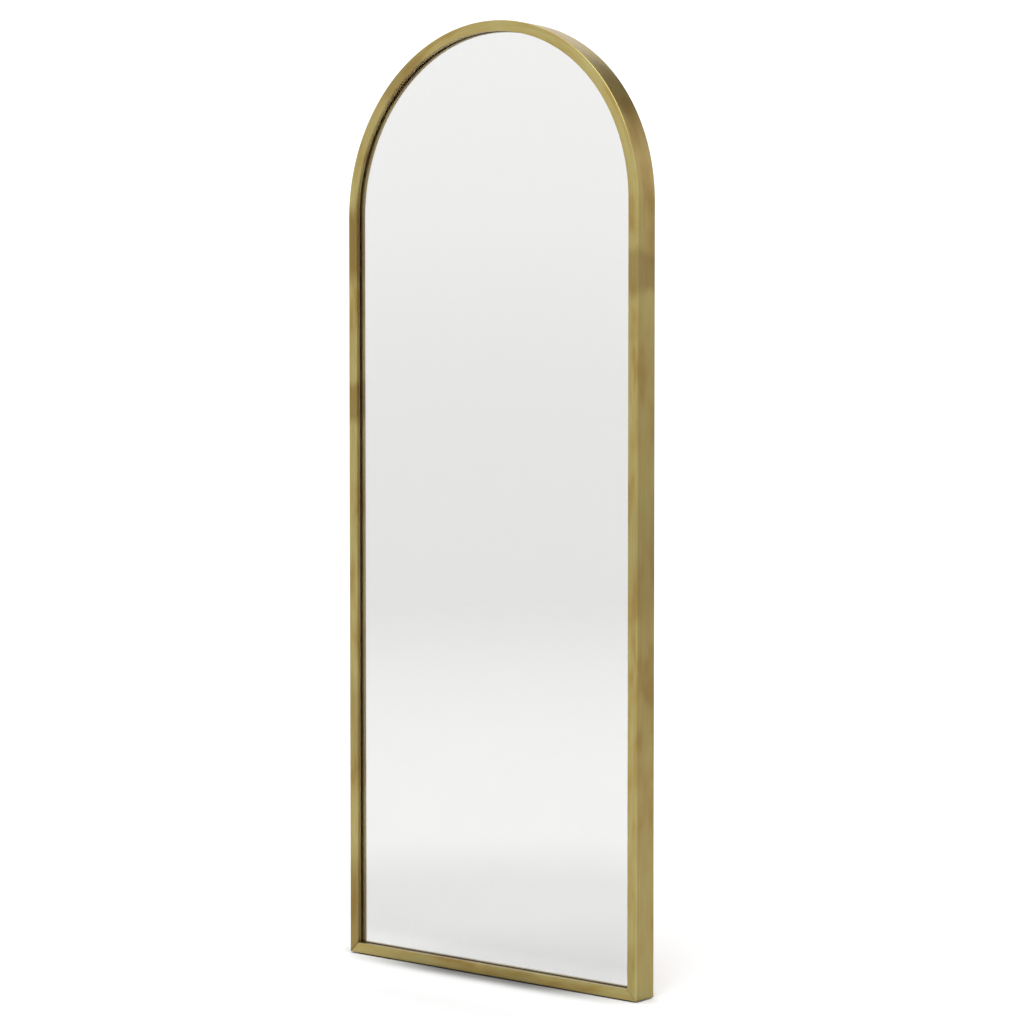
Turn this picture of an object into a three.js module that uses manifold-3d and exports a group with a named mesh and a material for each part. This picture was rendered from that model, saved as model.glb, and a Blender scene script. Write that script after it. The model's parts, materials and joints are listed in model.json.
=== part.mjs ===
// An arched full-length floor mirror. A deep, narrow metal profile is bent into one inverted U
// and closed by a mitred bottom rail. It holds silvered glass against its front lip, and a
// board, pressed forward by clips, closes the back.
// Sizes are in millimetres. The front faces -Y and +Z is up. The origin is on the floor,
// midway across the width and the depth.

import * as THREE from "three";
import { mergeVertices } from "three/addons/utils/BufferGeometryUtils.js";
import Module from "manifold-3d";

const wasm = await Module();
wasm.setup();

// ---- Overall size ----
const frameWidth = 660;
const frameHeight = 1688; // the metal alone, without the feet
const frameDepth = 50.8;

// ---- Clearances ----
const seatGap = 0.3; // between pieces that touch
const mitreGap = 0.3; // the fine line between the rail and each stile
const panelClearance = 1; // the glass and the board pass inside the rear flange by this
const runningClearance = 0.08; // the D-ring's bar in the eye of its strap
const drillPast = 2; // cutting tools run past a face by this

// ---- Frame profile: a hollow front chamber, a deep outer wall and a rear flange ----
const metal = 1.5; // wall thickness
const faceWidth = 19; // the front face, which shows all round the glass
const lipDepth = 8; // the chamber's depth, back to where the gasket lies
const flangeWidth = 10; // how far the rear flange turns inwards

// ---- Glass and what lies behind it, from front to back ----
const gasketThickness = 1;
const gasketWidth = 6;
const gasketSetBack = 0.3; // the gasket stops short of the chamber's inner wall by this
const glassThickness = 5;
const filmThickness = 0.3;
const foamThickness = 2;
const boardThickness = 9;

// ---- Blocks that centre the glass and the board in the frame ----
const settingBlockLength = 60;
const settingBlockFromMiddle = 180;
const spacerLength = 50;
const spacerHeights = { lower: 400, upper: 1100 }; // above the frame's lower edge

// ---- Corner keys, in the chamber, and corner plates, under the rear flange ----
const keyLeg = 60;
const plateLeg = 60;
const plateWidth = 14;
const plateThickness = 2;
const plateScrewSpots = [22, 50]; // from the corner, along each leg

// ---- Retaining clips ----
const clipMetal = 1.5;
const clipWidth = 20;
const clipFootLength = 18;
const clipEdgeMargin = 1; // the foot starts this far inside the board's edge
const clipTipClearance = 1.2; // between the clip's tip and the outer wall
const clipHeights = { lower: 200, middle: 700, upper: 1200 }; // above the frame's lower edge
const headClipAngle = 50; // degrees above the springing line

// ---- Hanger straps and D-rings ----
const strapWidth = 16;
const strapLength = 35; // from the ring's pivot down to the strap's end
const strapMetal = 1.5;
const strapScrewSpots = [10.5, 29]; // below the pivot
const hangerFromSide = 75; // from the frame's outer edge in to the middle of the strap
const hangerBelowSpring = 30; // from the springing line down to the pivot
const ringWire = 3.6; // diameter
const ringSideClearance = 1.2; // between the strap's edge and the ring's leg
const ringLeg = 8; // the straight part of each leg

// ---- Screws ----
const screwRadius = 1.9;
const screwHeadRadius = 3.4;
const screwHeadHeight = 1.8;
const screwBite = 7; // how deep a screw goes into the board
const screwTip = 0.8; // how far a corner screw comes through its plate

// ---- Feet and wall bumpers ----
const footLength = 80;
const footDepth = 46;
const footThickness = 2;
const footFromSide = 15;
const bumperRadius = 3.5;
const bumperThickness = 3;
const bumperInset = 6.2; // of its middle, so that the frame's side hides it from the front
const bumperHeight = 120; // of the lower pair, above the frame's lower edge
const headBumperAngle = 62; // degrees above the springing line

// ---- How finely round shapes are cut: segments in half a turn ----
const archSegments = 64;
const smallSegments = 16;
const wireSegments = 12;
const bowSteps = 20;

// ---- Places that follow from the sizes ----
const headRadius = frameWidth / 2;
const frameBottom = footThickness + seatGap;
const springZ = frameBottom + frameHeight - headRadius;
const frontY = -(frameDepth + seatGap + bumperThickness) / 2;
const panelInset = flangeWidth + panelClearance;
const gasketFront = lipDepth + seatGap;
const glassFront = gasketFront + gasketThickness + seatGap;
const filmFront = glassFront + glassThickness + seatGap;
const foamFront = filmFront + filmThickness + seatGap;
const boardFront = foamFront + foamThickness + seatGap;
const boardBack = boardFront + boardThickness;
const boardSeat = boardBack + seatGap; // where clips and straps lie on the board
const flangeFront = frameDepth - metal;
const flangeMiddle = (metal + flangeWidth) / 2;
const screwHoleRadius = screwRadius + seatGap;

// ---- Finishes ----
const agedBrass = { color: "#a5935a", roughness: 0.38, metalness: 1 };
const silveredGlass = { color: "#e8ebe9", roughness: 0.03, metalness: 1 };
const zincPlate = { color: "#b7babd", roughness: 0.35, metalness: 1 };
const blackRubber = { color: "#1c1c1b", roughness: 0.85, metalness: 0 };
const safetyFilm = { color: "#4c5357", roughness: 0.5, metalness: 0 };
const whiteFoam = { color: "#f1f1ee", roughness: 0.95, metalness: 0 };
const fibreboard = { color: "#8d6b48", roughness: 0.8, metalness: 0 };

const mirror = new THREE.Group();

function addPiece(name, geometry, finish, parent = mirror) {
  const mesh = new THREE.Mesh(geometry, new THREE.MeshStandardMaterial(finish));
  mesh.name = name;
  parent.add(mesh);
}

// ---- Joining and cutting closed geometries ----

function solid(geometry) {
  const source = geometry.index ? geometry.toNonIndexed() : geometry.clone();
  source.deleteAttribute("normal");
  source.deleteAttribute("uv");
  const merged = mergeVertices(source, 1e-4);
  const vertProperties = merged.attributes.position.array;
  const triVerts = new Uint32Array(merged.index.array);
  return new wasm.Manifold(new wasm.Mesh({ numProp: 3, vertProperties, triVerts }));
}

function geometryOf(body) {
  const mesh = body.getMesh();
  const geometry = new THREE.BufferGeometry();
  geometry.setAttribute("position", new THREE.BufferAttribute(mesh.vertProperties, 3));
  geometry.setIndex(new THREE.BufferAttribute(mesh.triVerts, 1));
  const faceted = geometry.toNonIndexed();
  faceted.computeVertexNormals();
  return faceted;
}

function cut(geometry, tools) {
  const rest = tools.reduce((body, tool) => body.subtract(solid(tool)), solid(geometry));
  return geometryOf(rest);
}

// ---- Outlines, drawn as seen from the front: x across, y up ----

// The frame's arched outline, moved inwards from its outer edge.
function archShape(inset, hollowInset) {
  const radius = headRadius - inset;
  const bottom = frameBottom + inset;
  const shape = new THREE.Shape();
  shape.moveTo(-radius, bottom);
  shape.lineTo(radius, bottom);
  shape.lineTo(radius, springZ);
  shape.absarc(0, springZ, radius, 0, Math.PI, false);
  shape.closePath();
  if (hollowInset !== undefined) shape.holes.push(archShape(hollowInset));
  return shape;
}

// An L along the rail and one stile. side is 1 on the right and -1 on the left.
function cornerShape(side, inset, width, leg) {
  const x = side * (headRadius - inset);
  const z = frameBottom + inset;
  const shape = new THREE.Shape();
  shape.moveTo(x, z);
  shape.lineTo(x - side * leg, z);
  shape.lineTo(x - side * leg, z + width);
  shape.lineTo(x - side * width, z + width);
  shape.lineTo(x - side * width, z + leg);
  shape.lineTo(x, z + leg);
  shape.closePath();
  return shape;
}

// Gives an outline its depth. front and back are measured from the frame's front face.
function slab(shape, front, back) {
  const options = { depth: back - front, bevelEnabled: false, curveSegments: archSegments / 2 };
  const geometry = new THREE.ExtrudeGeometry(shape, options);
  geometry.rotateX(Math.PI / 2);
  geometry.translate(0, frontY + back, 0);
  return geometry;
}

// A drill along the depth, at a place seen from the front.
function drill(x, z, front, back, radius = screwHoleRadius) {
  const geometry = new THREE.CylinderGeometry(radius, radius, back - front, smallSegments);
  geometry.translate(x, frontY + (front + back) / 2, z);
  return geometry;
}

// ---- Screws: a domed head over a plain shank, pointing forwards from the origin ----

function screwGeometry(shankLength) {
  const profile = [
    new THREE.Vector2(0, -shankLength),
    new THREE.Vector2(screwRadius, -shankLength),
    new THREE.Vector2(screwRadius, 0),
    new THREE.Vector2(screwHeadRadius, 0),
    new THREE.Vector2(screwHeadRadius * 0.92, screwHeadHeight * 0.6),
    new THREE.Vector2(screwHeadRadius * 0.55, screwHeadHeight),
    new THREE.Vector2(0, screwHeadHeight),
  ];
  return new THREE.LatheGeometry(profile, smallSegments);
}

// ---- Corner joints ----

// The four screws of one corner plate, seen from the front: two on the rail, two on the stile.
function plateScrewPlaces(side) {
  const onRail = plateScrewSpots.map((spot) => ({
    x: side * (headRadius - spot),
    z: frameBottom + flangeMiddle,
  }));
  const onStile = plateScrewSpots.map((spot) => ({
    x: side * (headRadius - flangeMiddle),
    z: frameBottom + spot,
  }));
  return [...onRail, ...onStile];
}

function addCorner(label, side) {
  const keyWidth = faceWidth - 2 * (metal + seatGap);
  const keyShape = cornerShape(side, metal + seatGap, keyWidth, keyLeg);
  const keyBack = lipDepth - metal - seatGap;
  addPiece(`corner_key_${label}`, slab(keyShape, metal + seatGap, keyBack), zincPlate);

  const places = plateScrewPlaces(side);
  const plateBack = flangeFront - seatGap;
  const plateFront = plateBack - plateThickness;
  const plateShape = cornerShape(side, metal + seatGap, plateWidth, plateLeg);
  const holes = places.map(({ x, z }) =>
    drill(x, z, plateFront - drillPast, plateBack + drillPast),
  );
  const plate = cut(slab(plateShape, plateFront, plateBack), holes);
  addPiece(`corner_plate_${label}`, plate, zincPlate);

  const seat = frameDepth + seatGap;
  places.forEach(({ x, z }, index) => {
    const screw = screwGeometry(seat - plateFront + screwTip);
    screw.translate(x, frontY + seat, z);
    addPiece(`corner_screw_${label}_${index + 1}`, screw, zincPlate);
  });
}

// ---- The frame: one closed loop of profile, parted at the two mitres ----

// The region under both mitre planes, which run at 45 degrees through the lower outer
// corners. A positive spread moves them into the rail, a negative one into the stiles.
function railRegion(spread) {
  const reach = 2 * faceWidth;
  const low = frameBottom - reach;
  const high = frameBottom + reach;
  const lowHalf = headRadius - spread + reach;
  const highHalf = headRadius - spread - reach;
  const shape = new THREE.Shape();
  shape.moveTo(-lowHalf, low);
  shape.lineTo(lowHalf, low);
  shape.lineTo(highHalf, high);
  shape.lineTo(-highHalf, high);
  shape.closePath();
  return solid(slab(shape, -drillPast, frameDepth + drillPast));
}

function addFrame() {
  const block = slab(archShape(0), 0, frameDepth);
  const opening = slab(archShape(faceWidth), -drillPast, lipDepth + drillPast);
  const rebate = slab(archShape(metal), lipDepth, flangeFront);
  const rearOpening = slab(archShape(flangeWidth), lipDepth + drillPast, frameDepth + drillPast);
  const chamber = slab(archShape(metal, faceWidth - metal), metal, lipDepth - metal);
  const screwHoles = [...plateScrewPlaces(-1), ...plateScrewPlaces(1)].map(({ x, z }) =>
    drill(x, z, flangeFront - drillPast, frameDepth + drillPast),
  );
  const loop = solid(cut(block, [opening, rebate, rearOpening, chamber, ...screwHoles]));
  const spread = mitreGap / Math.SQRT2;
  const arch = loop.subtract(railRegion(-spread));
  const rail = loop.intersect(railRegion(spread));
  addPiece("frame_arch", geometryOf(arch), agedBrass);
  addPiece("bottom_rail", geometryOf(rail), agedBrass);
}

// ---- Retaining clips: places on the frame's outer edge, and which way faces outwards ----

function onStile(side, height) {
  return { x: side * headRadius, z: frameBottom + height, angle: side > 0 ? 0 : Math.PI };
}

function onHead(degrees) {
  const angle = THREE.MathUtils.degToRad(degrees);
  return { x: headRadius * Math.cos(angle), z: springZ + headRadius * Math.sin(angle), angle };
}

const clipPlaces = {
  left_lower: onStile(-1, clipHeights.lower),
  left_middle: onStile(-1, clipHeights.middle),
  left_upper: onStile(-1, clipHeights.upper),
  right_lower: onStile(1, clipHeights.lower),
  right_middle: onStile(1, clipHeights.middle),
  right_upper: onStile(1, clipHeights.upper),
  head_left: onHead(180 - headClipAngle),
  head_right: onHead(headClipAngle),
  bottom: { x: 0, z: frameBottom, angle: -Math.PI / 2 },
};

const clipRiserInset = panelInset + clipEdgeMargin;
const clipScrewInset = clipRiserInset + (clipMetal + clipFootLength) / 2;

// A point seen from the front, moved inwards from a place on the outer edge.
function inwards({ x, z, angle }, inset) {
  return { x: x - inset * Math.cos(angle), z: z - inset * Math.sin(angle) };
}

// The clip's side view: x is outwards from the frame's edge, y is back from its front face.
function clipGeometry() {
  const riser = -clipRiserInset;
  const tip = -(metal + clipTipClearance);
  const footEnd = riser - clipFootLength;
  const top = flangeFront - seatGap;
  const shape = new THREE.Shape();
  shape.moveTo(riser, boardSeat);
  shape.lineTo(riser, top - clipMetal);
  shape.lineTo(tip, top - clipMetal);
  shape.lineTo(tip, top);
  shape.lineTo(riser - clipMetal, top);
  shape.lineTo(riser - clipMetal, boardSeat + clipMetal);
  shape.lineTo(footEnd, boardSeat + clipMetal);
  shape.lineTo(footEnd, boardSeat);
  shape.closePath();
  const clip = new THREE.ExtrudeGeometry(shape, { depth: clipWidth, bevelEnabled: false });
  clip.translate(0, frontY, -clipWidth / 2);
  const hole = drill(-clipScrewInset, 0, boardBack, boardSeat + clipMetal + drillPast);
  return cut(clip, [hole]);
}

function addClips() {
  const seat = boardSeat + clipMetal + seatGap;
  Object.entries(clipPlaces).forEach(([label, place]) => {
    const spot = new THREE.Group();
    spot.position.set(place.x, 0, place.z);
    spot.rotation.y = -place.angle;
    mirror.add(spot);
    addPiece(`clip_${label}`, clipGeometry(), zincPlate, spot);
    const screw = screwGeometry(seat - boardBack + screwBite);
    screw.translate(-clipScrewInset, frontY + seat, 0);
    addPiece(`clip_screw_${label}`, screw, zincPlate, spot);
  });
}

// ---- Hangers: a strap curled round the straight bar of a D-ring ----

const ringRadius = ringWire / 2;
const eyeRadius = ringRadius + runningClearance + strapMetal;
const pivotDepth = boardSeat + eyeRadius;
const pivotZ = springZ - hangerBelowSpring;
const hangerX = headRadius - hangerFromSide;
const ringHalfWidth = strapWidth / 2 + ringSideClearance + ringRadius; // to the wire's middle

// Turns a side view, x back and y up, extruded along z, so that it is extruded along x.
function fromSideView(geometry) {
  const back = new THREE.Vector3(0, 1, 0);
  const up = new THREE.Vector3(0, 0, 1);
  const across = new THREE.Vector3(1, 0, 0);
  return geometry.applyMatrix4(new THREE.Matrix4().makeBasis(back, up, across));
}

function strapGeometry() {
  const plateAngle = Math.acos((eyeRadius - strapMetal) / eyeRadius);
  const shape = new THREE.Shape();
  shape.moveTo(-eyeRadius, -strapLength);
  shape.lineTo(-eyeRadius, 0);
  shape.absarc(0, 0, eyeRadius, Math.PI, plateAngle - Math.PI, true);
  shape.lineTo(strapMetal - eyeRadius, -strapLength);
  shape.closePath();
  // The bore's flats, not its corners, keep the running clearance to the bar.
  const boreRadius = (ringRadius + runningClearance) / Math.cos(Math.PI / smallSegments);
  const bore = new THREE.Path();
  bore.absarc(0, 0, boreRadius, 0, 2 * Math.PI, false);
  shape.holes.push(bore);
  const options = { depth: strapWidth, bevelEnabled: false, curveSegments: smallSegments / 2 };
  const strap = fromSideView(new THREE.ExtrudeGeometry(shape, options));
  strap.translate(-strapWidth / 2, frontY + pivotDepth, 0);
  const holes = strapScrewSpots.map((spot) =>
    drill(0, -spot, boardBack, boardSeat + strapMetal + drillPast),
  );
  return cut(strap, holes);
}

function ringGeometry() {
  const bowPoints = [
    new THREE.Vector3(-ringHalfWidth, 0, 0),
    new THREE.Vector3(-ringHalfWidth, 0, -ringLeg / 2),
  ];
  for (let step = 0; step <= 8; step += 1) {
    const angle = Math.PI + (step / 8) * Math.PI;
    const x = ringHalfWidth * Math.cos(angle);
    const z = ringHalfWidth * Math.sin(angle) - ringLeg;
    bowPoints.push(new THREE.Vector3(x, 0, z));
  }
  bowPoints.push(new THREE.Vector3(ringHalfWidth, 0, -ringLeg / 2));
  bowPoints.push(new THREE.Vector3(ringHalfWidth, 0, 0));
  const section = new THREE.Shape();
  section.absarc(0, 0, ringRadius, 0, 2 * Math.PI, false);
  const bow = new THREE.ExtrudeGeometry(section, {
    steps: bowSteps,
    curveSegments: wireSegments / 2,
    extrudePath: new THREE.CatmullRomCurve3(bowPoints),
  });
  const barLength = 2 * (ringHalfWidth + ringRadius);
  const bar = new THREE.CylinderGeometry(ringRadius, ringRadius, barLength, wireSegments);
  bar.rotateZ(Math.PI / 2);
  const ring = geometryOf(solid(bow).add(solid(bar)));
  ring.translate(0, frontY + pivotDepth, 0);
  return ring;
}

function addHanger(label, side) {
  const hanger = new THREE.Group();
  hanger.position.set(side * hangerX, 0, pivotZ);
  mirror.add(hanger);
  addPiece(`hanger_strap_${label}`, strapGeometry(), zincPlate, hanger);
  addPiece(`d_ring_${label}`, ringGeometry(), zincPlate, hanger);
  const seat = boardSeat + strapMetal + seatGap;
  strapScrewSpots.forEach((spot, index) => {
    const screw = screwGeometry(seat - boardBack + screwBite);
    screw.translate(0, frontY + seat, -spot);
    addPiece(`hanger_screw_${label}_${index + 1}`, screw, zincPlate, hanger);
  });
}

// ---- Glass, and what lies behind it ----

function addPanel() {
  const gasketInner = faceWidth - gasketSetBack;
  const gasketShape = archShape(gasketInner - gasketWidth, gasketInner);
  const gasketBack = gasketFront + gasketThickness;
  addPiece("glazing_gasket", slab(gasketShape, gasketFront, gasketBack), blackRubber);

  const glass = slab(archShape(panelInset), glassFront, glassFront + glassThickness);
  addPiece("mirror_glass", glass, silveredGlass);
  const film = slab(archShape(panelInset), filmFront, filmFront + filmThickness);
  addPiece("safety_film", film, safetyFilm);
  const foam = slab(archShape(panelInset), foamFront, foamFront + foamThickness);
  addPiece("foam_sheet", foam, whiteFoam);

  const clipScrews = Object.values(clipPlaces).map((place) => inwards(place, clipScrewInset));
  const strapScrews = [-1, 1].flatMap((side) =>
    strapScrewSpots.map((spot) => ({ x: side * hangerX, z: pivotZ - spot })),
  );
  const pilotFront = boardBack - screwBite - seatGap;
  const pilots = [...clipScrews, ...strapScrews].map(({ x, z }) =>
    drill(x, z, pilotFront, boardBack + drillPast),
  );
  const board = slab(archShape(panelInset), boardFront, boardBack);
  addPiece("back_board", cut(board, pilots), fibreboard);
}

// ---- Blocks between the frame's outer wall and the edges of the glass and the board ----

function blockGeometry(acrossLow, acrossHigh, low, high) {
  const depth = boardBack - glassFront;
  const geometry = new THREE.BoxGeometry(acrossHigh - acrossLow, depth, high - low);
  const middleY = frontY + glassFront + depth / 2;
  geometry.translate((acrossLow + acrossHigh) / 2, middleY, (low + high) / 2);
  return geometry;
}

function addBlocks(label, side) {
  const nearWall = metal + seatGap;
  const nearPanel = panelInset - seatGap;
  const middle = side * settingBlockFromMiddle;
  const setting = blockGeometry(
    middle - settingBlockLength / 2,
    middle + settingBlockLength / 2,
    frameBottom + nearWall,
    frameBottom + nearPanel,
  );
  addPiece(`setting_block_${label}`, setting, blackRubber);

  Object.entries(spacerHeights).forEach(([level, height]) => {
    const edges = [side * (headRadius - nearWall), side * (headRadius - nearPanel)];
    const low = frameBottom + height - spacerLength / 2;
    const spacer = blockGeometry(Math.min(...edges), Math.max(...edges), low, low + spacerLength);
    addPiece(`side_spacer_${label}_${level}`, spacer, blackRubber);
  });
}

// ---- Feet under the rail, and bumpers behind the rear flange ----

function addFoot(label, side) {
  const foot = new THREE.BoxGeometry(footLength, footDepth, footThickness);
  const x = side * (headRadius - footFromSide - footLength / 2);
  foot.translate(x, frontY + frameDepth / 2, footThickness / 2);
  addPiece(`foot_${label}`, foot, blackRubber);
}

function addBumper(label, place) {
  const { x, z } = inwards(place, bumperInset);
  const front = frameDepth + seatGap;
  const bumper = drill(x, z, front, front + bumperThickness, bumperRadius);
  addPiece(`wall_bumper_${label}`, bumper, blackRubber);
}

// ---- The whole mirror ----

addFrame();
addPanel();
addClips();
for (const [label, side] of [["left", -1], ["right", 1]]) {
  addCorner(label, side);
  addBlocks(label, side);
  addHanger(label, side);
  addFoot(label, side);
  addBumper(`lower_${label}`, onStile(side, bumperHeight));
  addBumper(`upper_${label}`, onHead(90 + side * (headBumperAngle - 90)));
}

export default mirror;
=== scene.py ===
# %% [markdown]
# # An arched floor mirror in brushed, aged brass
# A full-length mirror stands on a pale studio floor. A deep, narrow brass profile runs up both
# sides and over a half-round head, and a mitred rail closes it at the bottom. The glass sits
# back from the front face behind a dark gasket.
#
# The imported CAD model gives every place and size. This script dresses it: it loads the frame,
# measures it, models the pieces that need finer shapes than the solids have, and gives every
# surface its finish. Lengths are in metres.

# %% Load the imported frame
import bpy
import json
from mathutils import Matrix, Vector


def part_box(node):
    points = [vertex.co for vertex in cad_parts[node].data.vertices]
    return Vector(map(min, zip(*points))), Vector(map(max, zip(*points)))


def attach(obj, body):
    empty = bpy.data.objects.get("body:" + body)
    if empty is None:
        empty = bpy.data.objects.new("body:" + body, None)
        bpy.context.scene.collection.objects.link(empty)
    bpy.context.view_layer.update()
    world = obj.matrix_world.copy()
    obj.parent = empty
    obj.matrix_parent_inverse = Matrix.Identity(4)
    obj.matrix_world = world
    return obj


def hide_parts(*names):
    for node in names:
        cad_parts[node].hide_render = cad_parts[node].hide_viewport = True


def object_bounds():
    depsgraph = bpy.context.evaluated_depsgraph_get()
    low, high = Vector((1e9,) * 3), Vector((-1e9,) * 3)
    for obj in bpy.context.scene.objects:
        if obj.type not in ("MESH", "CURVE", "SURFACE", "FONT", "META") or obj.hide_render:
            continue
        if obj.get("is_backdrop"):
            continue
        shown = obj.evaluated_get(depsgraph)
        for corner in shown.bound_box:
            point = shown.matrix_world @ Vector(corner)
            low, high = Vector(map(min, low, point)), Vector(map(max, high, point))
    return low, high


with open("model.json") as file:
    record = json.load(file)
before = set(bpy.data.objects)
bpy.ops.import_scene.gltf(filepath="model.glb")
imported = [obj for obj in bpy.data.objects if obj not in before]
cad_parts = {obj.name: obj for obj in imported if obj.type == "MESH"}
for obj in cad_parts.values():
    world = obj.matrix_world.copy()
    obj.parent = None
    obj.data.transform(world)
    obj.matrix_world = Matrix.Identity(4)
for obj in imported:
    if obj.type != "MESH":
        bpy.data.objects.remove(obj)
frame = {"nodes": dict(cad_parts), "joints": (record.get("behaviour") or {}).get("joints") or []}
cad_box = [list(corner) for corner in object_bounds()]

import json
import math

import bmesh
import bpy
from mathutils import Matrix, Vector

# %% [markdown]
# ## Read the sizes from the solids
# Everything that follows is placed by what the solids say: the outer box of the arch, the height
# of the rail, which is the width of the front face, and the boxes of the flat layers. Some sizes
# can't be read from a box, such as the wall of the profile and the turn of its rear flange, so
# they are named here.

# %% Sizes of the mirror
MM = 0.001
SAME_PLACE = 0.001 * MM  # points closer than this are one point
HAIR = 0.01 * MM  # and a surface counts as flat within this
arch_low, arch_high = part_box("frame_arch")
rail_low, rail_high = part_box("bottom_rail")

head_radius = (arch_high.x - arch_low.x) / 2
frame_bottom = rail_low.z
spring_z = arch_high.z - head_radius
front_y = arch_low.y
frame_depth = arch_high.y - front_y
face_width = rail_high.z - rail_low.z
metal = 1.5 * MM
flange_width = 10 * MM
mitre_gaps = {-1: 0.3 * MM, 1: 0.1 * MM}
seat_gap = 0.3 * MM
lip_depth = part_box("glazing_gasket")[0].y - seat_gap - front_y
ARCH_STEPS = 160
SIDES = {"left": -1, "right": 1}

print(f"frame {2 * head_radius:.3f} m wide, {arch_high.z - frame_bottom:.3f} m high")
print(f"face {face_width / MM:.1f} mm, depth {frame_depth / MM:.1f} mm")
print(f"lip {lip_depth / MM:.1f} mm")

# %% [markdown]
# ## Set up the camera
# The photograph was taken from the front right, at about the height of a person's waist, with a
# long lens. The camera's place was worked out from the edges of the frame, from the plane of its
# front face and its lower edge. A long lens keeps the two stiles nearly parallel.

# %% Camera
LENS_MM, SENSOR_MM = 91.43, 36
CAMERA_RIGHT, CAMERA_IN_FRONT, CAMERA_UP = 2.942, 3.5267, 0.9989
CAMERA_DOWN, CAMERA_LEFT = 2.165, 39.274  # degrees that it looks down, and to the left

camera_data = bpy.data.cameras.new("studio_camera")
camera_data.lens = LENS_MM
camera_data.sensor_width = SENSOR_MM
camera = bpy.data.objects.new("studio_camera", camera_data)
camera.location = (CAMERA_RIGHT, front_y - CAMERA_IN_FRONT, frame_bottom + CAMERA_UP)
camera.rotation_euler = (math.radians(90 - CAMERA_DOWN), 0, math.radians(CAMERA_LEFT))
bpy.context.collection.objects.link(camera)
bpy.context.scene.camera = camera
bpy.context.scene.view_settings.view_transform = "Standard"
print("camera", round((camera.location - Vector((0, front_y, 1))).length, 2), "m from the glass")

# %% [markdown]
# ## Colours and nodes
# Colours are written as the hex values that a colour picker gives, in sRGB. Shaders work with
# linear light, so one function turns them. A second function adds any node in one call, with its
# settings, the values in its sockets, its links and the colours of a ramp, which keeps each
# material short. On a Mix node, socket 0 is the factor and sockets 6 and 7 are the colours.

# %% Colour and node helpers
def linear(hex_colour):
    """The linear colour, with alpha 1, of an sRGB hex value such as "a5935a"."""
    channels = [int(hex_colour[i : i + 2], 16) / 255 for i in (0, 2, 4)]
    turned = [c / 12.92 if c <= 0.04045 else ((c + 0.055) / 1.055) ** 2.4 for c in channels]
    return (*turned, 1.0)


def add_node(tree, kind, links=None, values=None, stops=None, **settings):
    """Adds a node. A link comes from an output, or from a node, which gives the one in use."""
    node = tree.nodes.new(kind)
    for name, value in settings.items():
        setattr(node, name, value)
    for socket, value in (values or {}).items():
        node.inputs[socket].default_value = value
    for socket, source in (links or {}).items():
        if isinstance(source, bpy.types.Node):
            source = next(output for output in source.outputs if output.enabled)
        tree.links.new(source, node.inputs[socket])
    if stops:
        points = node.color_ramp.elements
        while len(points) < len(stops):
            points.new(0.5)
        for point, (position, colour) in zip(points, sorted(stops.items())):
            point.position = position
            point.color = linear(colour) if isinstance(colour, str) else colour
    return node


print("middle grey in linear light:", round(linear("808080")[0], 3))

# %% [markdown]
# ## Parts that every finish uses
# A finish ends in one Principled shader, with its constant values on the shader's own sockets.
# What varies over a surface comes from noise. The size of each pattern is given in millimetres
# and turned into the scale of a Mapping node, so the pattern is as large as it is on the real
# thing. Noise keeps mostly between 0.3 and 0.7, so that range is what gets mapped to a value.

# %% Finish helpers
SOFT_NOISE = {"Scale": 1.0, "Detail": 2.0, "Roughness": 0.55}
NOISE_RANGE = {"From Min": 0.3, "From Max": 0.7}


def new_finish(name):
    """An empty material, and its tree."""
    material = bpy.data.materials.new(name)
    material.use_nodes = True
    material.node_tree.nodes.clear()
    return material, material.node_tree


def feature_scale(*sizes_mm):
    """The Mapping scale that makes noise about this many millimetres long in x, y and z."""
    return [1 / (size * MM) for size in sizes_mm]


print("a 2 mm pattern has a scale of", feature_scale(2)[0], "per metre")

# %% [markdown]
# ## Brushed, aged brass
# The frame is metal with a brushed antique brass finish. Brushing leaves fine scratches along
# the length of the profile, so a reflection stays fairly sharp along the metal and smears across
# it: the shader's anisotropy does that, turned by a UV map whose V runs along the profile. The
# ageing leaves warmer and greener patches, longer than they are wide. A thin clear lacquer keeps
# it from going further: it shows only where the metal is seen nearly edge-on, as a paler sheen.
#
# The real scratches are about 0.1 to 0.3 mm wide. A pixel of the photograph covers 1.8 mm, so
# they are drawn 1.6 mm wide, which is as fine as the render can show.

# %% Brass: colour from patches and scratches
SCRATCH_MM = (150, 1.6, 1.6)
PATCH_MM = (120, 26, 60)
PATCH_SHIFT = (3.1, 0.4, 0.0)  # slides the patches to where they look most like the photograph

brass, brass_tree = new_finish("brushed_aged_brass")
profile_place = add_node(
    brass_tree, "ShaderNodeAttribute", attribute_name="along_profile"
).outputs["Vector"]
scratch_place = add_node(
    brass_tree,
    "ShaderNodeMapping",
    {"Vector": profile_place},
    {"Scale": feature_scale(*SCRATCH_MM)},
)
scratches = add_node(
    brass_tree, "ShaderNodeTexNoise", {"Vector": scratch_place}, {**SOFT_NOISE, "Detail": 3.0}
)
patch_place = add_node(
    brass_tree,
    "ShaderNodeMapping",
    {"Vector": profile_place},
    {"Scale": feature_scale(*PATCH_MM), "Location": PATCH_SHIFT},
)
patches = add_node(brass_tree, "ShaderNodeTexNoise", {"Vector": patch_place}, SOFT_NOISE)
patina = add_node(
    brass_tree,
    "ShaderNodeValToRGB",
    {"Fac": patches},
    stops={0.34: "9a8144", 0.46: "a7955a", 0.66: "ada268"},
)
scratch_dirt = add_node(
    brass_tree,
    "ShaderNodeMapRange",
    {"Value": scratches},
    {**NOISE_RANGE, "To Min": 0.22, "To Max": 0.0},
)
brass_colour = add_node(
    brass_tree,
    "ShaderNodeMix",
    {0: scratch_dirt, 6: patina},
    {7: linear("5c4c22")},
    data_type="RGBA",
)
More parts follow.
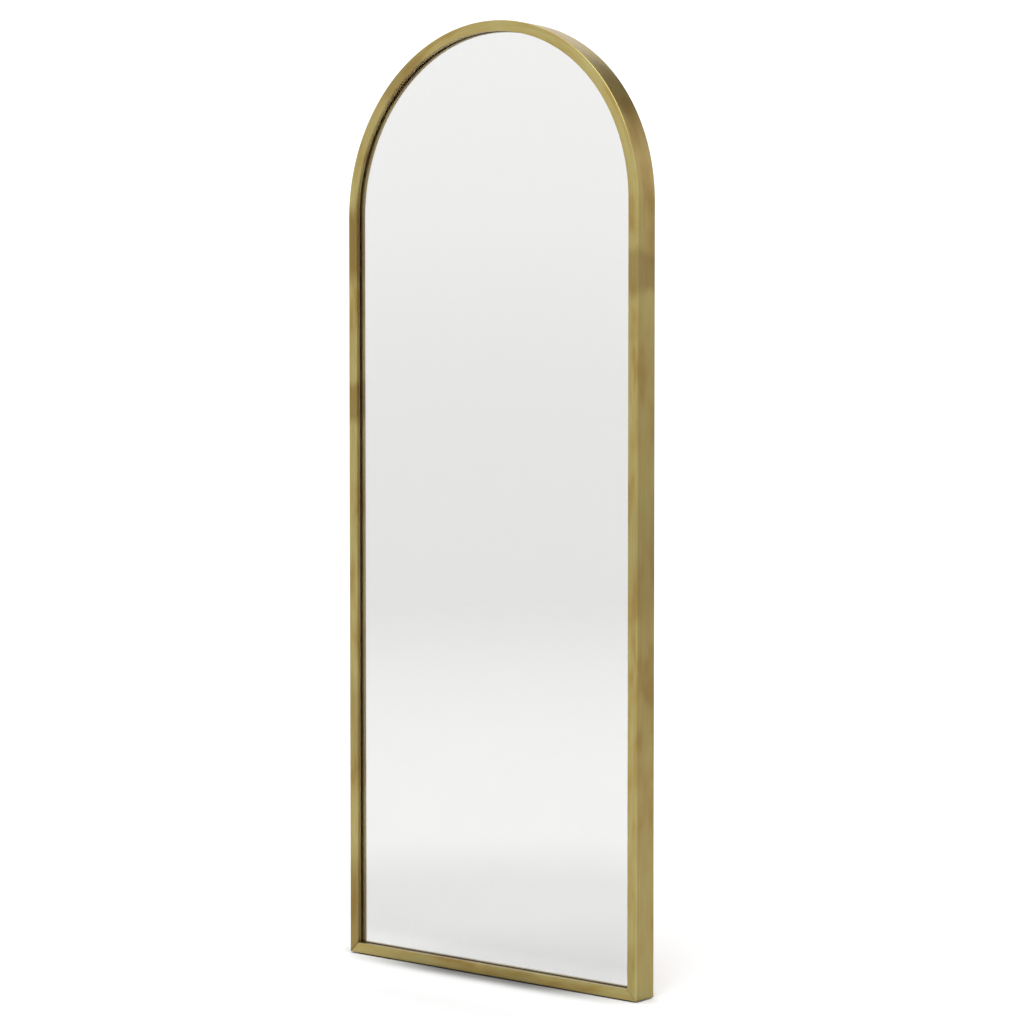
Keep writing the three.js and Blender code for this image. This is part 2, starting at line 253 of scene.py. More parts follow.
print("brass scratches drawn", SCRATCH_MM[1], "mm wide,", SCRATCH_MM[0], "mm long")

# %% [markdown]
# Two more marks of age follow the bar. Tarnish bands are stretches where the whole bar is a
# browner tone, with soft ends: the hands that polished it stopped there. Each has a place along
# the profile, counted in metres from the top of the head, clockwise as seen from the front. The
# mitres are brazed, and the heat leaves a thin brown line on each side of the joint.

# %% Brass: tarnish bands
quarter_turn = head_radius * math.pi / 2
RAIL_MIDDLE = 3.0  # the middle of the rail is counted from here, clear of both stiles
FULL_SHARE = 0.45  # the share of a mark's reach that keeps its full strength
BAND_WAVER = 0.01  # how far the patches push the end of a band along the bar
TARNISH_BANDS = {
    # place, reach each way, strength
    "right_stile_upper": (0.64, 0.05, 0.54),
    "right_stile_middle": (1.12, 0.14, 0.2),
    "left_shoulder": (-0.22, 0.08, 0.5),
    "left_stile_upper": (-0.565, 0.09, 0.8),
    "left_stile_second": (-0.855, 0.045, 0.66),
    "left_stile_middle": (-1.47, 0.13, 0.35),
    "left_stile_low": (-1.82, 0.15, 0.55),
    "rail_left": (2.87, 0.12, 0.2),
    "rail_middle": (3.05, 0.075, 0.3),
}


def near(tree, value, middle, reach, strength=1.0):
    """The strength where a value is at the middle, falling softly to 0 at reach from it."""
    away = add_node(tree, "ShaderNodeMath", {0: value}, {1: middle}, operation="SUBTRACT")
    distance = add_node(tree, "ShaderNodeMath", {0: away}, operation="ABSOLUTE")
    return add_node(
        tree,
        "ShaderNodeMapRange",
        {"Value": distance},
        {"From Min": FULL_SHARE * reach, "From Max": reach, "To Min": strength, "To Max": 0.0},
        interpolation_type="SMOOTHSTEP",
    )


place_parts = add_node(brass_tree, "ShaderNodeSeparateXYZ", {"Vector": profile_place}).outputs
waver = add_node(
    brass_tree,
    "ShaderNodeMapRange",
    {"Value": patches},
    {**NOISE_RANGE, "To Min": -BAND_WAVER, "To Max": BAND_WAVER},
)
along_bar = add_node(
    brass_tree, "ShaderNodeMath", {0: place_parts["X"], 1: waver}, operation="ADD"
)
for place, reach, strength in TARNISH_BANDS.values():
    brass_colour = add_node(
        brass_tree,
        "ShaderNodeMix",
        {0: near(brass_tree, along_bar, place, reach, strength), 6: brass_colour},
        {7: linear("7a5f2a")},
        data_type="RGBA",
    )
print(len(TARNISH_BANDS), "tarnish bands along the head, the stiles and the rail")

# %% [markdown]
# The outer side of the bar is painted darker than its face: painted shade, for the side that takes
# less of the room's light. The attribute's third value is the depth behind the front face, so the
# painted shade follows the section round its corner.

# %% Brass: painted shade on the outer side
SIDE_STARTS, SIDE_ENDS = 1.5 * MM, 4 * MM
side_painted_shade = add_node(
    brass_tree,
    "ShaderNodeMapRange",
    {"Value": place_parts["Z"]},
    {"From Min": SIDE_STARTS, "From Max": SIDE_ENDS},
    interpolation_type="SMOOTHSTEP",
)
# painted shade: the outer side is multiplied darker than the face
brass_colour = add_node(
    brass_tree,
    "ShaderNodeMix",
    {0: side_painted_shade, 6: brass_colour},
    {7: linear("e5dfd1")},
    data_type="RGBA",
    blend_type="MULTIPLY",
)
print("the side's tone starts", SIDE_STARTS / MM, "mm behind the face")

# %% [markdown]
# A mitre is a plane at 45 degrees through a lower corner of the frame. How far a point is from
# that plane is one dot product. With the sign of x left off, the two mitres fall on one plane,
# so the shader finds both from the point alone. The right joint closed tighter than the left one,
# and its brown line is fainter.

# %% Brass: brown lines at the mitres
BRAZE_REACH = 2.2 * MM
LEFT_BRAZE, RIGHT_BRAZE = 0.6, 0.25
brass_point = add_node(brass_tree, "ShaderNodeTexCoord").outputs["Object"]
folded = add_node(brass_tree, "ShaderNodeVectorMath", {0: brass_point}, operation="ABSOLUTE")
to_rail = Vector((1, 0, 1)).normalized()
from_plane = add_node(
    brass_tree, "ShaderNodeVectorMath", {0: folded}, {1: to_rail}, operation="DOT_PRODUCT"
)
seam = near(brass_tree, from_plane, to_rail.dot((head_radius, 0, frame_bottom)), BRAZE_REACH)
point_parts = add_node(brass_tree, "ShaderNodeSeparateXYZ", {"Vector": brass_point}).outputs
seam_strength = add_node(
    brass_tree,
    "ShaderNodeMapRange",
    {"Value": point_parts["X"]},
    {"From Min": -MM, "From Max": MM, "To Min": LEFT_BRAZE, "To Max": RIGHT_BRAZE},
)
seam_share = add_node(
    brass_tree, "ShaderNodeMath", {0: seam, 1: seam_strength}, operation="MULTIPLY"
)
brass_colour = add_node(
    brass_tree,
    "ShaderNodeMix",
    {0: seam_share, 6: brass_colour},
    {7: linear("5f4a20")},
    data_type="RGBA",
)
print("braze lines reach", BRAZE_REACH / MM, "mm to each side")

# %% Brass: relief, gloss and the direction of the brushing
SCRATCH_DEPTH = 0.02 * MM
relief = add_node(
    brass_tree,
    "ShaderNodeBump",
    {"Height": scratches},
    {"Strength": 1.0, "Distance": SCRATCH_DEPTH},
)
gloss = add_node(
    brass_tree,
    "ShaderNodeMapRange",
    {"Value": scratches},
    {**NOISE_RANGE, "To Min": 0.42, "To Max": 0.32},
)
grain = add_node(brass_tree, "ShaderNodeTangent", direction_type="UV_MAP", uv_map="grain")
brass_shader = add_node(
    brass_tree,
    "ShaderNodeBsdfPrincipled",
    {"Base Color": brass_colour, "Roughness": gloss, "Normal": relief, "Tangent": grain},
    {
        "Metallic": 1.0,
        "Anisotropic": 0.75,
        "Coat Weight": 0.25,
        "Coat Roughness": 0.25,
        "Coat IOR": 1.5,
    },
)
add_node(brass_tree, "ShaderNodeOutputMaterial", {"Surface": brass_shader})
print("brass has", len(brass_tree.nodes), "nodes")

# %% [markdown]
# ## Mirror glass
# The mirror is a sheet of clear float glass, 5 mm thick, with silver on its back. It could be
# one shiny plane, but the real one shows the thickness of the glass: the edge of the frame and
# the gasket are mirrored a few millimetres away from where they touch the glass. So the sheet is
# clear glass with an index of refraction of 1.52, and its back face is silver. Float glass is
# faintly green. A new mirror gives back about nine tenths of the light, and this one seven
# tenths, as the photograph's tones ask in a room that is brighter than white.

# %% Finishes of the glass
float_glass, glass_tree = new_finish("clear_float_glass")
glass_shader = add_node(
    glass_tree,
    "ShaderNodeBsdfPrincipled",
    values={
        "Base Color": linear("fdfefd"),
        "Roughness": 0.0,
        "IOR": 1.52,
        "Transmission Weight": 1.0,
    },
)
add_node(glass_tree, "ShaderNodeOutputMaterial", {"Surface": glass_shader})

silver, silver_tree = new_finish("wet_laid_silver")
silver_point = add_node(silver_tree, "ShaderNodeTexCoord").outputs["Object"]
silver_place = add_node(
    silver_tree,
    "ShaderNodeMapping",
    {"Vector": silver_point},
    {"Scale": feature_scale(900, 900, 900)},
)
silver_cloud = add_node(
    silver_tree, "ShaderNodeTexNoise", {"Vector": silver_place}, {**SOFT_NOISE, "Detail": 0.0}
)
silver_tone = add_node(
    silver_tree,
    "ShaderNodeValToRGB",
    {"Fac": silver_cloud},
    stops={0.3: "dcdbdb", 0.7: "dedddd"},
)
silver_shader = add_node(
    silver_tree,
    "ShaderNodeBsdfPrincipled",
    {"Base Color": silver_tone},
    {"Metallic": 1.0, "Roughness": 0.0},
)
add_node(silver_tree, "ShaderNodeOutputMaterial", {"Surface": silver_shader})
print("silver gives back", round(linear("dcdbdb")[1], 2), "of the light")

# %% [markdown]
# ## Rubber, zinc plate, nickel
# The feet, the bumpers and the blocks are moulded black rubber: a broad soft sheen and a fine
# matt grain. The gasket is a tan rubber, which looks dark in its recess. The clips, plates,
# straps and screws are pressed steel with bright zinc plate, which is pale, slightly blue and
# faintly clouded. The D-rings are drawn wire with nickel plate, warmer and shinier than zinc.
#
# All four are one idea: soft clouds change the tone and the gloss together, over a finer relief
# from the mould or the press. So one function makes the whole finish.

# %% Finishes of rubber and plated metal
def clouded_finish(name, dark, light, rough, cloud_mm, values, relief_mm=None, relief_depth=0.0):
    """Clouds from a dark to a light tone and through two roughnesses, over a fine relief."""
    material, tree = new_finish(name)
    point = add_node(tree, "ShaderNodeTexCoord").outputs["Object"]
    cloud_place = add_node(
        tree, "ShaderNodeMapping", {"Vector": point}, {"Scale": feature_scale(*[cloud_mm] * 3)}
    )
    clouds = add_node(tree, "ShaderNodeTexNoise", {"Vector": cloud_place}, SOFT_NOISE)
    tone = add_node(tree, "ShaderNodeValToRGB", {"Fac": clouds}, stops={0.3: dark, 0.7: light})
    gloss = add_node(
        tree,
        "ShaderNodeMapRange",
        {"Value": clouds},
        {**NOISE_RANGE, "To Min": rough[0], "To Max": rough[1]},
    )
    links = {"Base Color": tone, "Roughness": gloss}
    if relief_mm:
        relief_place = add_node(
            tree,
            "ShaderNodeMapping",
            {"Vector": point},
            {"Scale": feature_scale(*[relief_mm] * 3)},
        )
        ripple = add_node(tree, "ShaderNodeTexNoise", {"Vector": relief_place}, SOFT_NOISE)
        links["Normal"] = add_node(
            tree, "ShaderNodeBump", {"Height": ripple}, {"Strength": 1.0, "Distance": relief_depth}
        )
    shader = add_node(tree, "ShaderNodeBsdfPrincipled", links, values)
    add_node(tree, "ShaderNodeOutputMaterial", {"Surface": shader})
    return material


RUBBER = {"IOR": 1.52}
METAL = {"Metallic": 1.0}
rubber = clouded_finish(
    "moulded_black_rubber", "171716", "242423", (0.6, 0.78), 9, RUBBER, 0.8, 0.05 * MM
)
gasket_rubber = clouded_finish(
    "aged_gasket_rubber", "776036", "876e42", (0.5, 0.65), 14, RUBBER
)
zinc = clouded_finish(
    "bright_zinc_plate", "a9aeb3", "c9cccf", (0.42, 0.26), 5, METAL, 1.2, 0.03 * MM
)
nickel = clouded_finish(
    "nickel_plated_wire", "c2bdb1", "dcd8ce", (0.24, 0.14), 4, METAL, 2.5, 0.03 * MM
)
print("finishes:", rubber.name, gasket_rubber.name, zinc.name, nickel.name)

# %% [markdown]
# ## Board, foam and film
# The back is bare medium-density fibreboard: brown, quite matt, with a faint mottle of pressed
# fibres about 2 mm long and broad clouds. Behind the glass lie a grey safety film, which
# shows the weave of its backing, and a thin sheet of white foam with millimetre cells.

# %% Finish of the fibreboard
fibreboard, board_tree = new_finish("bare_fibreboard")
board_point = add_node(board_tree, "ShaderNodeTexCoord").outputs["Object"]
fibre_place = add_node(
    board_tree,
    "ShaderNodeMapping",
    {"Vector": board_point},
    {"Scale": feature_scale(2.0, 2.0, 1.3)},
)
fibres = add_node(
    board_tree, "ShaderNodeTexNoise", {"Vector": fibre_place}, {**SOFT_NOISE, "Detail": 5.0}
)
fibre_tone = add_node(
    board_tree,
    "ShaderNodeValToRGB",
    {"Fac": fibres},
    stops={0.28: "84664a", 0.5: "93734f", 0.72: "9f7f5a"},
)
cloud_place = add_node(
    board_tree,
    "ShaderNodeMapping",
    {"Vector": board_point},
    {"Scale": feature_scale(90, 90, 130)},
)
board_clouds = add_node(board_tree, "ShaderNodeTexNoise", {"Vector": cloud_place}, SOFT_NOISE)
cloud_share = add_node(
    board_tree,
    "ShaderNodeMapRange",
    {"Value": board_clouds},
    {**NOISE_RANGE, "To Min": 0.0, "To Max": 0.35},
)
board_tone = add_node(
    board_tree,
    "ShaderNodeMix",
    {0: cloud_share, 6: fibre_tone},
    {7: linear("866a49")},
    data_type="RGBA",
)
board_gloss = add_node(
    board_tree,
    "ShaderNodeMapRange",
    {"Value": fibres},
    {**NOISE_RANGE, "To Min": 0.72, "To Max": 0.9},
)
board_relief = add_node(
    board_tree, "ShaderNodeBump", {"Height": fibres}, {"Strength": 1.0, "Distance": 0.06 * MM}
)
board_shader = add_node(
    board_tree,
    "ShaderNodeBsdfPrincipled",
    {"Base Color": board_tone, "Roughness": board_gloss, "Normal": board_relief},
)
add_node(board_tree, "ShaderNodeOutputMaterial", {"Surface": board_shader})
print("fibreboard has", len(board_tree.nodes), "nodes")

# %% Finishes of the foam and the film
foam, foam_tree = new_finish("expanded_white_foam")
foam_point = add_node(foam_tree, "ShaderNodeTexCoord").outputs["Object"]
cells = add_node(foam_tree, "ShaderNodeTexVoronoi", {"Vector": foam_point}, {"Scale": 1 / MM})
foam_tone = add_node(
    foam_tree, "ShaderNodeValToRGB", {"Fac": cells}, stops={0.0: "dededa", 0.6: "f4f4f1"}
)
foam_relief = add_node(
    foam_tree, "ShaderNodeBump", {"Height": cells}, {"Strength": 1.0, "Distance": 0.15 * MM}
)
foam_shader = add_node(
    foam_tree,
    "ShaderNodeBsdfPrincipled",
    {"Base Color": foam_tone, "Normal": foam_relief},
    {"Roughness": 0.9},
)
add_node(foam_tree, "ShaderNodeOutputMaterial", {"Surface": foam_shader})

film, film_tree = new_finish("grey_safety_film")
film_point = add_node(film_tree, "ShaderNodeTexCoord").outputs["Object"]
weave_place = add_node(
    film_tree, "ShaderNodeMapping", {"Vector": film_point}, {"Scale": feature_scale(6, 6, 0.7)}
)
weave = add_node(film_tree, "ShaderNodeTexNoise", {"Vector": weave_place}, SOFT_NOISE)
film_tone = add_node(
    film_tree, "ShaderNodeValToRGB", {"Fac": weave}, stops={0.35: "454c50", 0.65: "565e62"}
)
film_relief = add_node(
    film_tree, "ShaderNodeBump", {"Height": weave}, {"Strength": 1.0, "Distance": 0.03 * MM}
)
film_shader = add_node(
    film_tree,
    "ShaderNodeBsdfPrincipled",
    {"Base Color": film_tone, "Normal": film_relief},
    {"Roughness": 0.45},
)
add_node(film_tree, "ShaderNodeOutputMaterial", {"Surface": film_shader})
print("finishes:", foam.name, film.name)

# %% [markdown]
# ## Turn a bmesh into a piece
# Each new piece is built in a bmesh, in place, so its object stays at the origin. One function
# makes the object, smooths it with weighted normals, which keep big faces flat beside small
# rounded edges, hangs it on its body and hides the solid it stands for.

# %% Piece helper
FLAT_FACE_WEIGHT = 80  # how far the big faces win over the small ones where they meet


def make_piece(name, bm, finishes, node, body="mirror"):
    """Makes the object from a bmesh, and hangs it where the CAD node is."""
    bmesh.ops.remove_doubles(bm, verts=bm.verts, dist=SAME_PLACE)
    bmesh.ops.recalc_face_normals(bm, faces=bm.faces)
    for face in bm.faces:
        face.smooth = True
    mesh = bpy.data.meshes.new(name)
    bm.to_mesh(mesh)
    bm.free()
    for finish in finishes:
        mesh.materials.append(finish)
    piece = bpy.data.objects.new(name, mesh)
    bpy.context.collection.objects.link(piece)
    weighted = piece.modifiers.new("weighted_normals", "WEIGHTED_NORMAL")
    weighted.weight = FLAT_FACE_WEIGHT
    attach(piece, body)
    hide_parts(node)
    return piece


print("new pieces ride on the body 'mirror', and the D-rings on their own")

# %% [markdown]
# ## The section of the frame
# The profile is like a tube with a tail: a hollow box at the front, which makes the face and the
# lip, then a deep outer wall, then a short flange turned in at the rear. Its section is drawn
# once, as (inset, depth): how far in from the outer edge, and how far back from the front face.
# The metal is folded, so the corners that show are rounded: the front outer one most, which is
# the bright line along the edge in the photograph.

# %% Draw the section
CORNER_STEPS = 5
OUTER_SECTION = (
    # inset, depth, radius of the rounded corner
    (0, 0, 1.6 * MM),
    (face_width, 0, 0.9 * MM),
    (face_width, lip_depth, 0.5 * MM),
    (metal, lip_depth, 0),
    (metal, frame_depth - metal, 0),
    (flange_width, frame_depth - metal, 0.4 * MM),
    (flange_width, frame_depth, 0.4 * MM),
    (0, frame_depth, 0.8 * MM),
)
CHAMBER_SECTION = (
    (metal, metal, 0),
    (face_width - metal, metal, 0),
    (face_width - metal, lip_depth - metal, 0),
    (metal, lip_depth - metal, 0),
)


def draw_section(bm, section, to_point):
    """Draws a closed loop of edges through the section's corners, rounded by their radii."""
    earlier = set(bm.faces)
    corners = [bm.verts.new(to_point(inset, depth)) for inset, depth, _ in section]
    bm.faces.new(corners)
    for corner, (_, _, radius) in zip(corners, section):
        if radius:
            bmesh.ops.bevel(
                bm,
                geom=[corner],
                offset=radius,
                segments=CORNER_STEPS,
                profile=0.5,
                affect="VERTICES",
                material=-1,
            )
    drawn = [face for face in bm.faces if face not in earlier]
    loop = list(dict.fromkeys(edge for face in drawn for edge in face.edges))
    bmesh.ops.delete(bm, geom=drawn, context="FACES_ONLY")
    return loop


trial = bmesh.new()
print(len(draw_section(trial, OUTER_SECTION, lambda u, v: (u, v, 0))), "edges round the section")
trial.free()

# %% [markdown]
# ## Bend the arch and cut its mitres
# On a bench the profile is rolled into a half circle with two straight legs, and the legs are
# sawn at 45 degrees. The mesh is made the same way. The section starts at the right springing
# and a spin of half a turn makes the head. Each end is extruded down past the floor, a plane
# saws it, and the cut is capped round its hollow.

# %% Saw and mark helpers
HEAD_AXIS = Vector((0, 1, 0))
HEAD_CENTRE = Vector((0, 0, spring_z))


def saw_mitre(bm, part, side, keep_rail):
    """Saws the faces in part at the mitre on one side, caps the cut and returns the cap."""
    to_rail = Vector((-side, 0, -1)).normalized()
    corner = Vector((side * head_radius, 0, frame_bottom))
    waste = -to_rail if keep_rail else to_rail
    verts = dict.fromkeys(vert for face in part for vert in face.verts)
    edges = dict.fromkeys(edge for face in part for edge in face.edges)
    cut = bmesh.ops.bisect_plane(
        bm,
        geom=[*verts, *edges, *part],
        plane_co=corner - waste * mitre_gaps[side] / 2,
        plane_no=waste,
        clear_outer=True,
    )
    rim = [item for item in cut["geom_cut"] if isinstance(item, bmesh.types.BMEdge)]
    filled = bmesh.ops.triangle_fill(bm, edges=rim, use_beauty=True)["geom"]
    return [item for item in filled if isinstance(item, bmesh.types.BMFace)]


def mark_profile(bm, place_of, caps):
    """Writes each point's (along, inset, depth), and a UV map whose V runs along the profile."""
    place_layer = bm.verts.layers.float_vector.new("along_profile")
    grain_layer = bm.loops.layers.uv.new("grain")
    for vert in bm.verts:
        vert[place_layer] = place_of(vert.co)
    for face in bm.faces:
        for loop in face.loops:
            along, inset, depth = loop.vert[place_layer]
            loop[grain_layer].uv = (inset + depth, along)
    for face in caps:  # a cap has its own part of the map, or it would turn the walls' grain
        for loop in face.loops:
            loop[grain_layer].uv = loop.vert[place_layer].yz


print("the head turns round", [round(value, 4) for value in HEAD_CENTRE])

# %% Bend and saw the arch
def arch_place(point):
    """Metres along the arch from the top of the head, clockwise, then inset and depth."""
    side = 1 if point.x > 0 else -1
    depth = point.y - front_y
    if point.z < spring_z:
        along = side * (quarter_turn + spring_z - point.z)
        return Vector((along, head_radius - abs(point.x), depth))
    up = Vector((point.x, 0, point.z - spring_z))
    return Vector((math.atan2(up.x, up.z) * head_radius, head_radius - up.length, depth))


bm = bmesh.new()
for section in (OUTER_SECTION, CHAMBER_SECTION):
    right_end = draw_section(
        bm, section, lambda inset, depth: (head_radius - inset, front_y + depth, spring_z)
    )
    turned = bmesh.ops.spin(
        bm,
        geom=right_end + list(dict.fromkeys(vert for edge in right_end for vert in edge.verts)),
        cent=HEAD_CENTRE,
        axis=HEAD_AXIS,
        angle=-math.pi,
        steps=ARCH_STEPS,
    )
    left_end = [item for item in turned["geom_last"] if isinstance(item, bmesh.types.BMEdge)]
    for end in (right_end, left_end):
        leg = bmesh.ops.extrude_edge_only(bm, edges=end)["geom"]
        low_end = [item for item in leg if isinstance(item, bmesh.types.BMVert)]
        bmesh.ops.translate(bm, verts=low_end, vec=(0, 0, -spring_z))
caps = []
for side in SIDES.values():
    leg = [
        face for face in bm.faces
        if all(vert.co.x * side > 0 and vert.co.z < spring_z + seat_gap for vert in face.verts)
    ]
    caps += saw_mitre(bm, leg, side, keep_rail=False)
mark_profile(bm, arch_place, caps)
arch = make_piece("bent_arch", bm, [brass], "frame_arch")
print("arch:", len(arch.data.polygons), "faces")

# %% [markdown]
# ## The bottom rail
# The rail is a straight length of the same profile, sawn at both ends. The fine gap left at each
# mitre is what shows as the joint.

# %% Extrude and saw the rail
def rail_place(point):
    """Metres along the rail, then inset and depth."""
    return Vector((RAIL_MIDDLE + point.x, point.z - frame_bottom, point.y - front_y))


rail_half = head_radius + face_width  # half the length before the ends are sawn off
bm = bmesh.new()
for section in (OUTER_SECTION, CHAMBER_SECTION):
    left_end = draw_section(
        bm,
        section,
        lambda inset, depth: (-rail_half, front_y + depth, frame_bottom + inset),
    )
    bar = bmesh.ops.extrude_edge_only(bm, edges=left_end)["geom"]
    right_end = [item for item in bar if isinstance(item, bmesh.types.BMVert)]
    bmesh.ops.translate(bm, verts=right_end, vec=(2 * rail_half, 0, 0))
caps = []
for side in SIDES.values():
    caps += saw_mitre(bm, bm.faces[:], side, keep_rail=True)
mark_profile(bm, rail_place, caps)
rail = make_piece("mitred_rail", bm, [brass], "bottom_rail")
print("rail:", len(rail.data.polygons), "faces")

# %% [markdown]
# ## Glass and gasket
# The glass and the gasket follow the frame's outline, moved in. The outline is made as the arch
# is: a spin of half a turn, two legs and a bottom edge. The glass is that face, extruded by its
# thickness, with ground edges. The gasket is the ring between two outlines.

# %% Outline helper
def draw_outline(bm, inset, depth):
    """Draws the frame's outline, moved in by inset, as a closed loop of edges."""
    start = bm.verts.new((head_radius - inset, front_y + depth, spring_z))
    turned = bmesh.ops.spin(
        bm, geom=[start], cent=HEAD_CENTRE, axis=HEAD_AXIS, angle=-math.pi, steps=ARCH_STEPS
    )
    end = next(item for item in turned["geom_last"] if isinstance(item, bmesh.types.BMVert))
    feet = [bm.verts.new((top.co.x, top.co.y, frame_bottom + inset)) for top in (start, end)]
    for pair in ((start, feet[0]), feet, (feet[1], end)):
        bm.edges.new(pair)
    return bm.edges[:]


def thicken(bm, faces, thickness):
    """Extrudes flat faces back by a thickness, keeping the front."""
    grown = bmesh.ops.extrude_face_region(bm, geom=faces, use_keep_orig=True)["geom"]
    moved = [item for item in grown if isinstance(item, bmesh.types.BMVert)]
    bmesh.ops.translate(bm, verts=moved, vec=(0, thickness, 0))


def ease_edges(bm, edges, radius, segments=2):
    """Rounds edges with a small radius."""
    bmesh.ops.bevel(
        bm,
        geom=edges,
        offset=radius,
        segments=segments,
        profile=0.5,
        affect="EDGES",
        material=-1,
    )


print("outlines have", ARCH_STEPS, "steps round the head")

# %% Mirror glass
GROUND_EDGE = 0.7 * MM
glass_low, glass_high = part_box("mirror_glass")
glass_inset = head_radius - glass_high.x
bm = bmesh.new()
outline = draw_outline(bm, glass_inset, glass_low.y - front_y)
front = bmesh.ops.contextual_create(bm, geom=outline)["faces"]
thicken(bm, front, glass_high.y - glass_low.y)
rims = [edge for edge in bm.edges if abs(edge.verts[0].co.y - edge.verts[1].co.y) < seat_gap]
ease_edges(bm, rims, GROUND_EDGE, segments=1)
for face in bm.faces:
    on_back = min(vert.co.y for vert in face.verts) > glass_high.y - HAIR
    face.material_index = 1 if on_back else 0
glass = make_piece(
    "silvered_glass_sheet", bm, [float_glass, silver], "mirror_glass"
)
print("glass:", round((glass_high.y - glass_low.y) / MM, 1), "mm thick")

# %% Glazing gasket
GASKET_PLAY = 0.1 * MM  # pressed in, it all but touches the lip and the glass
gasket_low, gasket_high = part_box("glazing_gasket")
gasket_inner = face_width - seat_gap
gasket_outer = head_radius - gasket_high.x
swell = seat_gap - GASKET_PLAY
gasket_depth = gasket_low.y - front_y - swell
bm = bmesh.new()
draw_outline(bm, gasket_outer, gasket_depth)
draw_outline(bm, gasket_inner, gasket_depth)
ring_faces = bmesh.ops.bridge_loops(bm, edges=bm.edges[:])["faces"]
thicken(bm, ring_faces, gasket_high.y - gasket_low.y + 2 * swell)
gasket = make_piece("soft_gasket", bm, [gasket_rubber], "glazing_gasket")
print("gasket:", round((gasket_inner - gasket_outer) / MM, 1), "mm wide")

# %% [markdown]
# ## Pressed clips
# The clips are cut from strip, bent twice in a press and screwed to the board, so that their
# tips push against the rear flange. A strip is easiest made as its middle line: four points,
# with the two bends rounded, extruded across to the clip's width. Solidify then gives it the
# thickness of the steel and a bevel takes off the sharp edges. One clip is made and a copy goes
# to each place, turned to face outwards.

# %% Where a fastener sits on the frame
def outward_turn(node):
    """The middle of a node's box and the turn that makes its +X face out of the frame."""
    low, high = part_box(node)
    middle = (low + high) / 2
    if middle.z > spring_z:
        angle = math.atan2(middle.z - spring_z, middle.x)
    elif abs(middle.x) < head_radius / 2:
        angle = -math.pi / 2
    else:
        angle = 0 if middle.x > 0 else math.pi
    turn = Matrix.Rotation(-angle, 4, "Y")
    return Matrix.Translation((middle.x, 0, middle.z)) @ turn


PRESSED_EDGE = 0.25 * MM
SHARP_DEGREES = 50  # an edge that turns less than this isn't eased
CUT_CORNER = 2.5 * MM
CORNER_CUT_STEPS = 6


def pressed(piece, thickness):
    """Gives a sheet its thickness, half on each side, and eases its edges."""
    solid = piece.modifiers.new("sheet_thickness", "SOLIDIFY")
    solid.thickness = thickness
    solid.offset = 0
    solid.use_even_offset = True
    eased = piece.modifiers.new("eased_edges", "BEVEL")
    eased.width = PRESSED_EDGE
    eased.segments = 2
    eased.limit_method = "ANGLE"
    eased.angle_limit = math.radians(SHARP_DEGREES)
    piece.modifiers.move(piece.modifiers.find("weighted_normals"), 2)


def round_corners(bm, corners, radius):
    """Rounds the corners of a flat sheet or a line."""
    for corner in corners:
        bmesh.ops.bevel(
            bm,
            geom=[corner],
            offset=radius,
            segments=CORNER_CUT_STEPS,
            profile=0.5,
            affect="VERTICES",
            material=-1,
        )


print("outward turn of clip_head_left:", outward_turn("clip_head_left").to_euler().y)

# %% Press one clip, and copy it to every place
clip_low, clip_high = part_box("clip_left_lower")
CLIP_METAL = 1.5 * MM
CLIP_FOOT = 18 * MM
clip_width = clip_high.z - clip_low.z
clip_half = (clip_high.x - clip_low.x) / 2
riser_x = CLIP_FOOT - clip_half - CLIP_METAL / 2


def press_clip():
    """A clip round the origin, with its tip towards +X."""
    bm = bmesh.new()
    line = [
        bm.verts.new(point)
        for point in (
            (-clip_half, clip_low.y + CLIP_METAL / 2, -clip_width / 2),
            (riser_x, clip_low.y + CLIP_METAL / 2, -clip_width / 2),
            (riser_x, clip_high.y - CLIP_METAL / 2, -clip_width / 2),
            (clip_half, clip_high.y - CLIP_METAL / 2, -clip_width / 2),
        )
    ]
    for pair in zip(line, line[1:]):
        bm.edges.new(pair)
    round_corners(bm, line[1:3], CLIP_METAL)
    strip = bmesh.ops.extrude_edge_only(bm, edges=bm.edges[:])["geom"]
    far_side = [item for item in strip if isinstance(item, bmesh.types.BMVert)]
    bmesh.ops.translate(bm, verts=far_side, vec=(0, 0, clip_width))
    ends = [vert for vert in bm.verts if abs(abs(vert.co.x) - clip_half) < HAIR]
    round_corners(bm, ends, CUT_CORNER)
    return bm


clips = [node for node in frame["nodes"] if node.startswith("clip_") and "screw" not in node]
for node in clips:
    bm = press_clip()
    bm.transform(outward_turn(node))
    clip = make_piece("pressed_" + node, bm, [zinc], node)
    pressed(clip, CLIP_METAL)
print(len(clips), "clips pressed")

# %% [markdown]
# ## Corner plates
# A flat L of zinc-plated steel is screwed under the rear flange across each mitre. The rail and
# the stile are already joined by the key in the hollow of the profile: the plate keeps the rear
# of the corner square.

# %% Cut the corner plates
PLATE_WIDTH = 14 * MM
for label, side in SIDES.items():
    node = f"corner_plate_{label}"
    low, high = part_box(node)
    outer = high.x if side > 0 else low.x
    leg = high.x - low.x
    across = [outer, outer - side * leg, outer - side * PLATE_WIDTH]
    up = [low.z, high.z, low.z + PLATE_WIDTH]
    spots = [(0, 0), (1, 0), (1, 2), (2, 2), (2, 1), (0, 1)]
    bm = bmesh.new()
    corners = [bm.verts.new((across[i], (low.y + high.y) / 2, up[j])) for i, j in spots]
    bm.faces.new(corners)
    round_corners(bm, corners, CUT_CORNER)
    plate = make_piece("flat_" + node, bm, [zinc], node)
    pressed(plate, high.y - low.y)
print("corner plates have legs of", round(leg / MM), "mm")

# %% [markdown]
# ## Pan-head screws
# The screws have low domed heads with a cross recess. The head and shank are one spin of a
# profile. The flat of the head is filled between its rim and the outline of the cross, and the
# cross is pushed in with its sides drawn together, as the driver needs.

